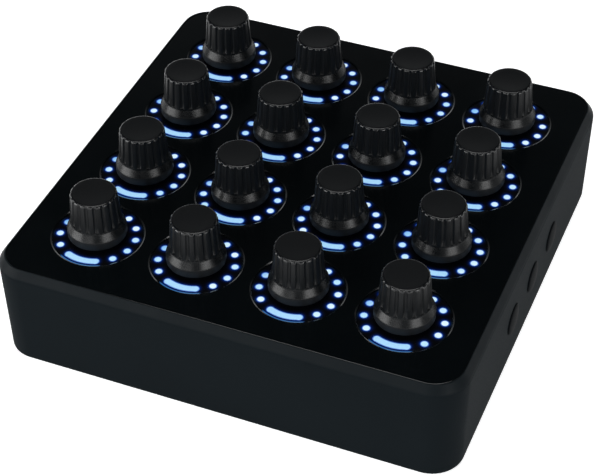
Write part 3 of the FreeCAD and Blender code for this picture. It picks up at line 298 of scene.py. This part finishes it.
def window_edges(finish):
    """Distances in millimetres from the nearest round window's edge and from the bar's edge, below
    nought inside the window, and the place measured from the ring's middle."""
    spot = spot_on(finish)
    parts = put(finish, "SeparateXYZ", {"Vector": spot})
    local = []
    for axis in ("X", "Y"):
        size = put(finish, "Math", {0: parts.outputs[axis], 1: 1 / MM}, operation="MULTIPLY")
        cell = put(finish, "Math", {0: size, 1: PITCH}, operation="FLOORED_MODULO")
        local.append(put(finish, "Math", {0: cell, 1: PITCH / 2}, operation="SUBTRACT"))
    plane = put(finish, "CombineXYZ", {"X": local[0], "Y": local[1]})
    radius = put(finish, "VectorMath", {0: plane}, operation="LENGTH").outputs["Value"]
    # Angle from the ring's back, for the round windows
    back = put(finish, "Math", {0: local[0], 1: local[1]}, operation="ARCTAN2")
    step = math.radians(DOT_STEP)
    turns = put(finish, "Math", {0: back, 1: step}, operation="DIVIDE")
    whole = put(finish, "Math", {0: turns}, operation="ROUND")
    rest = put(finish, "Math", {0: turns, 1: whole}, operation="SUBTRACT")
    swing = put(finish, "Math", {0: rest, 1: step}, operation="MULTIPLY")
    sideways = put(finish, "Math", {0: swing, 1: radius}, operation="MULTIPLY")
    outward = put(finish, "Math", {0: radius, 1: DOT_CIRCLE}, operation="SUBTRACT")
    gap = put(finish, "CombineXYZ", {"X": sideways, "Y": outward})
    dot = put(finish, "VectorMath", {0: gap}, operation="LENGTH").outputs["Value"]
    dot = put(finish, "Math", {0: dot, 1: DOT_RADIUS}, operation="SUBTRACT")
    # Angle from the ring's front, for the bar
    forward = put(finish, "Math", {0: local[1], 1: -1.0}, operation="MULTIPLY")
    front = put(finish, "Math", {0: local[0], 1: forward}, operation="ARCTAN2")
    front = put(finish, "Math", {0: front}, operation="ABSOLUTE")
    beyond = put(
        finish, "Math", {0: front, 1: math.radians(BAR_REACH)}, operation="SUBTRACT"
    )
    beyond = put(finish, "Math", {0: beyond, 1: 0.0}, operation="MAXIMUM")
    endways = put(finish, "Math", {0: beyond, 1: radius}, operation="MULTIPLY")
    across = put(finish, "Math", {0: radius, 1: BAR_CIRCLE}, operation="SUBTRACT")
    off = put(finish, "CombineXYZ", {"X": endways, "Y": across})
    bar = put(finish, "VectorMath", {0: off}, operation="LENGTH").outputs["Value"]
    bar = put(finish, "Math", {0: bar, 1: BAR_HALF}, operation="SUBTRACT")
    return dot, bar, plane


def lit_guide():
    finish = new_finish("lit_frosted_acrylic")
    dot, bar, plane = window_edges(finish)
    edge = put(finish, "Math", {0: dot, 1: bar}, operation="MINIMUM")
    in_bar = put(finish, "Math", {0: bar, 1: 0.4}, operation="LESS_THAN")
    # The lights differ a little, so some windows are whiter than others
    spot = spot_on(finish)
    lamp = put(finish, "TexNoise", {"Vector": spot, "Scale": 1 / (11 * MM), "Detail": 0.0})
    lamp = put(finish, "MapRange", {"Value": lamp, "From Min": 0.35, "From Max": 0.62})
    round_glow = put(
        finish, "Mix", {"Factor": lamp, "A": paint("#b3e0f8"), "B": paint("#dcf3fc")},
        data_type="RGBA",
    )
    # Those at the ring's left rear are the dimmest and bluest
    rearward = put(
        finish, "VectorMath", {0: plane, 1: (-0.85, 0.53, 0)}, operation="DOT_PRODUCT"
    )
    rearward = put(
        finish, "MapRange",
        {"Value": rearward.outputs["Value"], "From Min": 9.0, "From Max": 14.5,
         "To Min": 0.0, "To Max": 0.9},
    )
    round_glow = put(
        finish, "Mix", {"Factor": rearward, "A": round_glow, "B": paint("#5fabea")},
        data_type="RGBA",
    )
    glow = put(
        finish, "Mix", {"Factor": in_bar, "A": round_glow, "B": paint("#9dcff2")},
        data_type="RGBA",
    )
    rim = put(
        finish, "MapRange",
        {"Value": edge, "From Min": -0.38, "From Max": -0.16, "To Min": 0.0, "To Max": 1.0},
        interpolation_type="SMOOTHSTEP",
    )
    glow = put(
        finish, "Mix", {"Factor": rim, "A": glow, "B": paint("#0d55bb")}, data_type="RGBA"
    )
    frost = put(finish, "TexNoise", {"Vector": spot, "Scale": 1 / (0.9 * MM), "Detail": 1.0})
    power = put(
        finish, "MapRange",
        {"Value": frost, "From Min": 0.3, "From Max": 0.7, "To Min": 0.92, "To Max": 1.02},
    )
    inside = put(finish, "Math", {0: edge, 1: 0.06}, operation="LESS_THAN")
    power = put(finish, "Math", {0: power, 1: inside}, operation="MULTIPLY")
    shader = put(
        finish, "BsdfPrincipled",
        {"Base Color": paint("#5d6a75"), "Roughness": 0.35, "IOR": 1.49,
         "Emission Color": glow, "Emission Strength": power},
    )
    put(finish, "OutputMaterial", {"Surface": shader})
    return finish


def printed_film():
    finish = new_finish("printed_black_film")
    dot, bar, plane = window_edges(finish)
    edge = put(finish, "Math", {0: dot, 1: bar}, operation="MINIMUM")
    weave = put(
        finish, "TexNoise", {"Vector": spot_on(finish), "Scale": 1 / (0.35 * MM), "Detail": 2.0}
    )
    shade = put(
        finish, "Mix", {"Factor": weave, "A": paint("#040506"), "B": paint("#08090b")},
        data_type="RGBA",
    )
    # The film passes a trace of blue, most of it beside the windows
    near = put(finish, "Math", {0: 0.04, 1: edge}, operation="POWER")
    creep_and_mirror_glow = put(
        finish, "Math", {0: near, 1: 0.28, 2: 0.0005}, operation="MULTIPLY_ADD"
    )
    # Beside the bar a blue glow is painted round the disc's outer edge: a painted reflection of the
    # lit bar in the hole's bevel
    radius = put(finish, "VectorMath", {0: plane}, operation="LENGTH").outputs["Value"]
    outer = put(finish, "MapRange", {"Value": radius, "From Min": 15.75, "From Max": 16.0})
    beside = put(
        finish, "MapRange",
        {"Value": bar, "From Min": 1.0, "From Max": 1.6, "To Min": 0.5, "To Max": 0.0},
    )
    bar_mirror_glow = put(finish, "Math", {0: outer, 1: beside}, operation="MULTIPLY")
    # The emission holds the creep and the painted reflection, which takes the paler blue
    creep_and_mirror_glow = put(finish, "Math", {0: creep_and_mirror_glow, 1: bar_mirror_glow}, operation="ADD")
    hue = put(
        finish, "Mix", {"Factor": outer, "A": paint("#004fdf"), "B": paint("#4a97e6")},
        data_type="RGBA",
    )
    relief = put(finish, "Bump", {"Height": weave, "Strength": 1.0, "Distance": 0.003 * MM})
    shader = put(
        finish, "BsdfPrincipled",
        {"Base Color": shade, "Roughness": 0.16, "IOR": 1.5, "Specular IOR Level": 0.3,
         "Normal": relief, "Emission Color": hue, "Emission Strength": creep_and_mirror_glow},
    )
    put(finish, "OutputMaterial", {"Surface": shader})
    return finish


dress("light_guides", lit_guide())
dress("ring_masks", printed_film())


# Knobs: hollow caps moulded in black satin plastic and pressed on steel shafts. Each has a plain
# skirt, a sloping shoulder, eighteen broad ribs with narrow grooves between, and a slightly dished
# top. Heights are measured from the ring masks.
RING_TOP = 42.4
CAP_FOOT = 2.1
SKIRT_RADIUS = 10.65
SKIRT_TOP = 5.15
HUB_RADIUS = 4.7
HUB_FOOT = 4.7
CAP_ROOF = 17.35
CAP_BLACKS = ("#06080a", "#0b0e10")
SHAFT_RADIUS = 3.0
SHAFT_GAP = 0.04
SHAFT_FLAT = 1.5
COLLAR_RADIUS = 4.0
RIBS = 18
GROOVE_DEEP = 0.5
GROOVE_FOOT = 8.7
GRIP_FOOT = 8.2
GRIP_FOOT_RADIUS = 9.25
GRIP_TOP_RADIUS = 8.4
KNOB_HIGH = 20.35
EDGE_ROUND = 1.0
DISH = 0.3
KNOB_TURNS = ((4, 19, 3, 6), (1, 0, 15, 5), (5, 5, 4, 11), (18, 18, 11, 9))
# One groove and its ribs: degrees from the groove's middle, share of the groove's depth
RIB_SHAPE = (
    (-7, 0), (-5.1, 0.03), (-4.3, 0.24), (-3.1, 0.66), (-1.6, 0.92), (0, 1),
    (1.6, 0.92), (3.1, 0.66), (4.3, 0.24), (5.1, 0.03), (7, 0), (10, 0),
)


def knob_ring(work, loop, radius, height, groove=0.0):
    """Extrudes the knob's loop to the next height, with its grooves cut to that depth."""
    grown = bmesh.ops.extrude_edge_only(work, edges=loop)["geom"]
    for corner in grown:
        if isinstance(corner, bmesh.types.BMVert):
            rib_place(corner, radius, height, groove)
    return [e for e in grown if isinstance(e, bmesh.types.BMEdge)]


def rib_place(corner, radius, height, groove):
    """Moves a corner to the radius, less its share of the groove's depth."""
    angle = math.atan2(corner.co.y, corner.co.x)
    local = math.degrees(angle) % (360 / RIBS)
    local = local - 360 / RIBS if local > 10.5 else local
    cut = min(RIB_SHAPE, key=lambda item: abs(item[0] - local))[1] * groove
    reach = radius - cut
    corner.co = (math.cos(angle) * reach, math.sin(angle) * reach, height)


def knob_cap():
    """The cap at the origin, its height measured from the ring masks."""
    work = bmesh.new()
    sector = 360 / RIBS
    wall_foot = 9.2
    bmesh.ops.create_circle(work, radius=wall_foot, segments=RIBS * len(RIB_SHAPE))
    circle = sorted(work.verts, key=lambda v: math.atan2(v.co.y, v.co.x) % (2 * math.pi))
    for k, corner in enumerate(circle):
        group, item = divmod(k + 5, len(RIB_SHAPE))
        angle = math.radians(group * sector + RIB_SHAPE[item][0])
        corner.co = (wall_foot * math.cos(angle), wall_foot * math.sin(angle), CAP_FOOT)
    bottom = list(work.edges)
    loop = bottom
    outside = [
        (SKIRT_RADIUS - 0.25, CAP_FOOT),
        (SKIRT_RADIUS - 0.08, CAP_FOOT + 0.05),
        (SKIRT_RADIUS, CAP_FOOT + 0.22),
        (SKIRT_RADIUS, SKIRT_TOP),
        (SKIRT_RADIUS - 0.03, SKIRT_TOP + 0.12),
        (SKIRT_RADIUS - 0.1, SKIRT_TOP + 0.21),
        (9.45, 7.8),
        (9.32, 7.98),
        (GRIP_FOOT_RADIUS, GRIP_FOOT),
    ]
    for radius, height in outside:
        loop = knob_ring(work, loop, radius, height)
    shoulder = KNOB_HIGH - EDGE_ROUND
    lean = (GRIP_FOOT_RADIUS - GRIP_TOP_RADIUS) / (shoulder - GRIP_FOOT)
    for rise, groove in ((0.0, 0.0), (0.03, 0.2), (0.1, 0.4), (0.2, GROOVE_DEEP)):
        height = GROOVE_FOOT + rise
        radius = GRIP_FOOT_RADIUS - lean * (height - GRIP_FOOT)
        loop = knob_ring(work, loop, radius, height, groove)
    for share in (0.25, 0.5, 0.75, 1.0):
        height = GROOVE_FOOT + 0.2 + (shoulder - GROOVE_FOOT - 0.2) * share
        radius = GRIP_FOOT_RADIUS - lean * (height - GRIP_FOOT)
        loop = knob_ring(work, loop, radius, height, GROOVE_DEEP)
    groove_reach = GRIP_TOP_RADIUS - GROOVE_DEEP
    for k in range(1, 10):
        angle = math.radians(10 * k)
        radius = GRIP_TOP_RADIUS - EDGE_ROUND * (1 - math.cos(angle))
        height = shoulder + EDGE_ROUND * math.sin(angle)
        loop = knob_ring(work, loop, radius, height, max(0.0, radius - groove_reach))
    flat = GRIP_TOP_RADIUS - EDGE_ROUND
    for share in (0.8, 0.6, 0.4, 0.2, 0.05):
        sink = DISH * (1 - share ** 2)
        loop = knob_ring(work, loop, flat * share, KNOB_HIGH - sink)
    bmesh.ops.contextual_create(work, geom=loop)
    loop = bottom
    inside = [
        (9.0, 5.1),
        (7.5, 6.6),
        (6.9, CAP_ROOF),
        (HUB_RADIUS, CAP_ROOF),
        (HUB_RADIUS, HUB_FOOT),
        (SHAFT_RADIUS + SHAFT_GAP, HUB_FOOT),
        (SHAFT_RADIUS + SHAFT_GAP, 15.0),
    ]
    for radius, height in inside:
        loop = knob_ring(work, loop, radius, height)
    bmesh.ops.contextual_create(work, geom=loop)
    bmesh.ops.recalc_face_normals(work, faces=work.faces)
    for face in work.faces:
        middle = face.calc_center_median()
        face.material_index = int(middle.z > shoulder and middle.xy.length > flat)
    return work


# Fingers polish the sloping shoulder, and most of all the top's rounded edge. The skirt stays as matt
# as the mould left it.
satin_black = moulded_plastic(
    "satin_black_cap", *CAP_BLACKS, 0.38, 0.45, 0.004, 0.23,
    worn=[
        (RING_TOP + 1.5, RING_TOP + 5.6, -0.22),
        (RING_TOP + 5.0, RING_TOP + 8.6, 0.1),
    ],
)
worn_edge = moulded_plastic("worn_cap_edge", *CAP_BLACKS, 0.24, 0.45, 0.003, 0.42)


def bright_metal(name, dark, light, roughness, scratch):
    """Bare or plated metal. Scratch is the width of its tool marks in millimetres, drawn coarser
    than real ones so that they show from near by."""
    finish = new_finish(name)
    spot = spot_on(finish)
    marks = put(finish, "TexNoise", {"Vector": spot, "Scale": 1 / (scratch * MM), "Detail": 3.0})
    tarnish = put(finish, "TexNoise", {"Vector": spot, "Scale": 1 / (6 * MM), "Detail": 2.0})
    shade = put(
        finish, "Mix", {"Factor": tarnish, "A": paint(dark), "B": paint(light)}, data_type="RGBA"
    )
    sheen = put(
        finish, "MapRange",
        {"Value": marks, "From Min": 0.3, "From Max": 0.7,
         "To Min": roughness - 0.06, "To Max": roughness + 0.08},
    )
    relief = put(finish, "Bump", {"Height": marks, "Strength": 1.0, "Distance": 0.004 * MM})
    shader = put(
        finish, "BsdfPrincipled",
        {"Base Color": shade, "Roughness": sheen, "Normal": relief, "Metallic": 1.0},
    )
    put(finish, "OutputMaterial", {"Surface": shader})
    return finish


drawn_steel = bright_metal("drawn_shaft_steel", "#8d8f90", "#b4b6b8", 0.3, 0.2)


def shaft():
    """The shaft at the origin: collar, round part and flat-sided top."""
    flat_foot = 4.6
    work = turned_solid(
        [(COLLAR_RADIUS - 0.2, -5.4), (COLLAR_RADIUS, -5.2), (COLLAR_RADIUS, -4.1),
         (COLLAR_RADIUS - 0.2, -3.9), (SHAFT_RADIUS, -3.9), (SHAFT_RADIUS, flat_foot - 0.1),
         (SHAFT_RADIUS, flat_foot), (SHAFT_RADIUS, 14.3), (SHAFT_RADIUS - 0.3, 14.6)]
    )
    for corner in work.verts:
        if corner.co.z > flat_foot - 0.05:
            corner.co.x = min(corner.co.x, SHAFT_FLAT)
    return work


cap_shape = bpy.data.meshes.new("cap_shape")
made = knob_cap()
made.to_mesh(cap_shape)
made.free()
shaft_shape = bpy.data.meshes.new("shaft_shape")
made = shaft()
made.to_mesh(shaft_shape)
made.free()
for row, turns in enumerate(KNOB_TURNS):
    for column, turn in enumerate(turns):
        tag = f"row{row + 1}_col{column + 1}"
        place = Matrix.Scale(MM, 4) @ Matrix.Translation(
            ((column - 1.5) * PITCH, (1.5 - row) * PITCH, RING_TOP)
        ) @ Matrix.Rotation(math.radians(turn), 4, "Z")
        body = f"knob_{tag}"
        work = bmesh.new()
        work.from_mesh(cap_shape)
        work.transform(place)
        cap = piece(
            f"knob_cap_{tag}", work, satin_black, body, [f"knob_{tag}"], 38
        )
        cap.data.materials.append(worn_edge)
        work = bmesh.new()
        work.from_mesh(shaft_shape)
        work.transform(place)
        piece(f"knob_shaft_{tag}", work, drawn_steel, body)


# Side buttons: round caps moulded in the case's plastic, three in each side wall. Each has a flange
# behind the wall, a domed face and a post that works the switch.
BUTTON_HEIGHT = 21.8
BUTTON_PITCH = 24
FLANGE_LOW = 83.15
POST = 1.6
FLANGE = 7.2
FLANGE_THICK = 1.2
CAP = 5.7
FACE = 5.37
DOME = 0.35
DOME_EDGE = 5.0
# The caps' colour is darker than the case's: painted shade for the shade that lies on the buttons
button_abs_painted_darker = moulded_plastic("matt_black_button_painted_shade", "#0a0c0e", "#101416", 0.66, 0.4, 0.01, 0.025)
button_profile = [(POST - 0.3, -0.8), (POST, -0.5), (POST, 0.0)]
button_profile += [(FLANGE - 0.1, 0.0), (FLANGE, 0.1), (FLANGE, FLANGE_THICK), (CAP, FLANGE_THICK)]
button_profile += [(CAP, FACE - 0.9), (CAP - 0.08, FACE - 0.66), (CAP - 0.3, FACE - 0.48)]
button_profile += [
    (radius, FACE - DOME * (radius / DOME_EDGE) ** 2) for radius in (DOME_EDGE, 4.2, 3.2, 2.1, 1.0)
]
for side, wall in ((1, "right"), (-1, "left")):
    for step, name in ((-1, "front"), (0, "middle"), (1, "rear")):
        work = turned_solid(button_profile, 72)
        turn = Matrix.Rotation(math.radians(90 * side), 4, "Y")
        spot = Matrix.Translation((side * FLANGE_LOW, BUTTON_PITCH * step, BUTTON_HEIGHT))
        work.transform(Matrix.Scale(MM, 4) @ spot @ turn)
        tag = f"{wall}_{name}"
        piece(
            f"push_cap_{tag}", work, button_abs_painted_darker, f"button_{tag}",
            [f"side_button_{tag}"],
        )


# Cable socket: a folded shell of tinned steel round a black insulator with its contact tongue,
# soldered under the board's tab and open through the rear wall.
dress("socket_shell", bright_metal("tinned_sheet_steel", "#9a9c9d", "#c6c8c9", 0.28, 0.15))
dress("socket_insulator", moulded_plastic("black_nylon", "#101112", "#191a1b", 0.45, 0.3, 0.006))


# Screws, washers, nuts and standoffs: rolled and turned parts that hold the plates, boards and
# encoders. The screws are blackened, the washers and nuts zinc plated, the standoffs bare brass.
black_steel = bright_metal("blackened_screw_steel", "#1d1e20", "#34363a", 0.38, 0.2)
zinc_steel = bright_metal("zinc_plated_steel", "#9fa3a6", "#c4c8cb", 0.32, 0.2)
for node in ("case_screws", "board_screws", "side_board_screws"):
    dress(node, black_steel)
for node in ("encoder_washers", "encoder_nuts"):
    dress(node, zinc_steel)
dress("faceplate_standoffs", bright_metal("yellow_brass", "#a98545", "#cba963", 0.3, 0.25))


# Encoders and their contact wheels: a folded case of tinned steel, soldered to the board, and a
# wheel moulded in white acetal with twelve detent notches, which the shaft's flat key turns.
dress("encoder_housings", bright_metal("tinned_encoder_case", "#8f9496", "#b9bdbf", 0.4, 0.3))
acetal = moulded_plastic("white_acetal", "#d6d6d0", "#e8e8e3", 0.4, 0.4, 0.004)
for row in range(1, 5):
    for column in range(1, 5):
        dress(f"encoder_wheel_row{row}_col{column}", acetal)


# Circuit boards: the main board and an upright board behind each row of side buttons, glass fibre
# under black solder resist, which is as smooth as varnish. Screws hold all three.
resist = moulded_plastic("black_solder_resist", "#0c0f0e", "#151a18", 0.35, 0.5, 0.01)
dress("main_board", resist)
dress("side_boards", resist)


# Chips and lights: packages moulded in black epoxy or white resin and soldered to the main board,
# thirteen lights under each ring.
epoxy = moulded_plastic("epoxy_chip_package", "#17181a", "#1f2022", 0.55, 0.2, 0.01)
white_resin = moulded_plastic("white_light_package", "#c9cbc8", "#e4e6e3", 0.45, 0.3, 0.004)
dress("control_chips", epoxy)
dress("ring_lights", white_resin)


# Light baffles: black ABS rings between the board and the light guides. A cell under each window
# keeps its light apart.
baffle_abs = moulded_plastic("black_baffle_abs", "#0b0c0c", "#121313", 0.7, 0.5, 0.015)
dress("light_baffles", baffle_abs)


# Side switches and leads: a nylon switch behind each side button, soldered to the side boards, and
# two flat grey leads from those to the main board.
dress("side_switches", moulded_plastic("switch_nylon", "#141516", "#1d1e20", 0.5, 0.3, 0.008))
dress("side_leads", moulded_plastic("grey_lead_jacket", "#5a5d60", "#6d7073", 0.5, 0.5, 0.01))


# Studio: a pale floor, a soft room, four large lamps and the camera. The floor is white to the
# camera and to anything glossy, and keeps the object's shadow.
floor_finish = new_finish("pale_paper")
seen = put(floor_finish, "LightPath")
both = put(
    floor_finish, "Math",
    {0: seen.outputs["Is Camera Ray"], 1: seen.outputs["Is Glossy Ray"]}, operation="MAXIMUM",
)
both = put(
    floor_finish, "Math", {0: both, 1: seen.outputs["Is Transmission Ray"]}, operation="MAXIMUM"
)
lift = put(floor_finish, "Math", {0: both, 1: 0.74}, operation="MULTIPLY")
fibre = put(
    floor_finish, "TexNoise", {"Vector": spot_on(floor_finish), "Scale": 900.0, "Detail": 2.0}
)
tone = put(
    floor_finish, "Mix", {"Factor": fibre, "A": paint("#e2e3e4"), "B": paint("#ebecec")},
    data_type="RGBA",
)
paper = put(
    floor_finish, "BsdfPrincipled",
    {"Base Color": tone, "Roughness": 0.9, "Specular IOR Level": 0.1,
     "Emission Color": paint("#ffffff"), "Emission Strength": lift},
)
put(floor_finish, "OutputMaterial", {"Surface": paper})
ground = bmesh.new()
bmesh.ops.create_circle(ground, cap_ends=True, radius=9, segments=64)
floor_mesh = bpy.data.meshes.new("floor")
ground.to_mesh(floor_mesh)
ground.free()
floor_mesh.materials.append(floor_finish)
floor = bpy.data.objects.new("floor", floor_mesh)
bpy.context.scene.collection.objects.link(floor)

room = bpy.data.worlds.new("soft_room")
room.use_nodes = True
room.node_tree.nodes.clear()
way = put(room, "SeparateXYZ", {"Vector": put(room, "TexCoord").outputs["Generated"]})
fade = put(
    room, "MapRange",
    {"Value": way.outputs["Z"], "From Min": 0.25, "From Max": 0.62,
     "To Min": 0.42, "To Max": 0.012},
)
# Behind the object the pale backdrop runs up from the floor
rear = put(
    room, "MapRange",
    {"Value": way.outputs["Y"], "From Min": 0.3, "From Max": 0.8, "To Min": 0.0, "To Max": 0.6},
)
low = put(
    room, "MapRange",
    {"Value": way.outputs["Z"], "From Min": 0.18, "From Max": 0.3, "To Min": 1.0, "To Max": 0.0},
)
backdrop = put(room, "Math", {0: rear, 1: low, 2: fade}, operation="MULTIPLY_ADD")
air = put(room, "Background", {"Color": paint("#f4f6f8"), "Strength": backdrop})
put(room, "OutputWorld", {"Surface": air})
bpy.context.scene.world = room

for name, spot, size, watts in (
    ("right_softbox", (1.20, -0.73, 0.39), (0.8, 0.6), 9),
    ("left_softbox", (-1.15, -0.88, 0.30), (1.0, 0.5), 11),
    ("front_softbox", (-0.43, -1.25, 0.72), (1.3, 0.5), 8),
    ("top_softbox", (0.0, 0.05, 1.9), (1.5, 1.1), 15),
):
    lamp = bpy.data.lights.new(name, "AREA")
    lamp.shape = "RECTANGLE"
    lamp.size, lamp.size_y = size
    lamp.energy = watts
    stand = bpy.data.objects.new(name, lamp)
    aim = (Vector((0, 0, 0.03)) - Vector(spot)).to_track_quat("-Z", "Y")
    stand.matrix_world = Matrix.Translation(spot) @ aim.to_matrix().to_4x4()
    bpy.context.scene.collection.objects.link(stand)

lens = bpy.data.cameras.new("camera")
lens.lens = 108.49
lens.sensor_width = 36
camera = bpy.data.objects.new("camera", lens)
camera.matrix_world = (
    Matrix.Translation((0.19654, -0.48049, 0.46891))
    @ Matrix.Rotation(math.radians(22.669), 4, "Z")
    @ Matrix.Rotation(math.radians(90 - 41.325), 4, "X")
    @ Matrix.Rotation(math.radians(-0.795), 4, "Z")
)
bpy.context.scene.collection.objects.link(camera)
bpy.context.scene.camera = camera
bpy.context.scene.view_settings.view_transform = "Standard"
